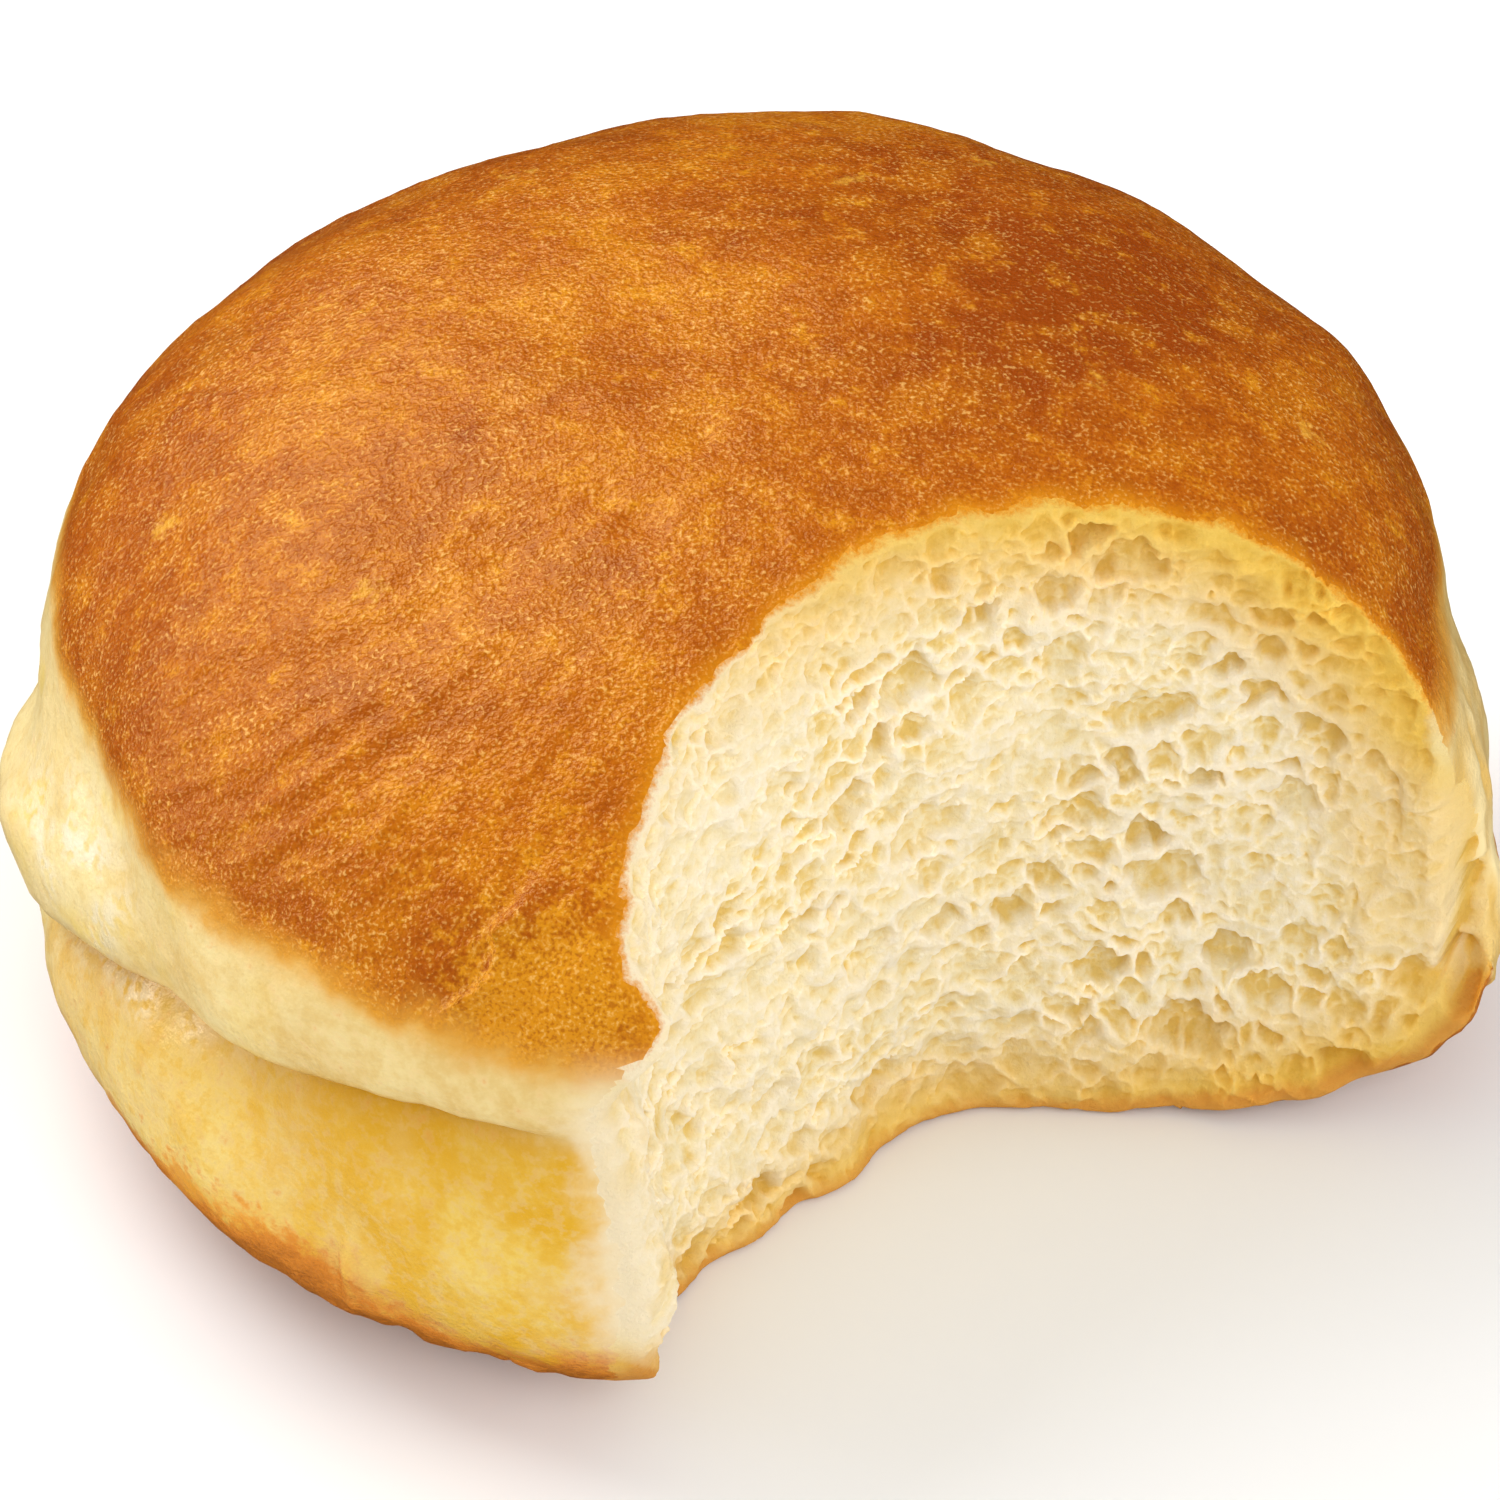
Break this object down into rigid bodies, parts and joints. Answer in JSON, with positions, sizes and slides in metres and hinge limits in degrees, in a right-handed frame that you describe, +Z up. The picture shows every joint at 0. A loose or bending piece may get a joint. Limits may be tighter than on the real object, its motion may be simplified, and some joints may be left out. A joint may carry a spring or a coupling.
{
  "type": "doughnut",
  "caption": "Round fried yeast doughnut with a browned domed crust, a pale folded band round its side and a bite out of the front that bares the open crumb.",
  "frame": {"origin": "middle of the underside, midway between the sides", "axes": "+Z up through the dome, X to the right and -Y to the front, with the bite at the front right"},
  "size_m": [0.0892, 0.0848, 0.0492],
  "materials": {
    "crust": "golden-brown fried crust with a faint oily sheen, a cream-yellow band round the middle and a pale open crumb in the bite"
  },
  "bodies": {
    "root": {"doughnut": "crust"}
  },
  "joints": []
}
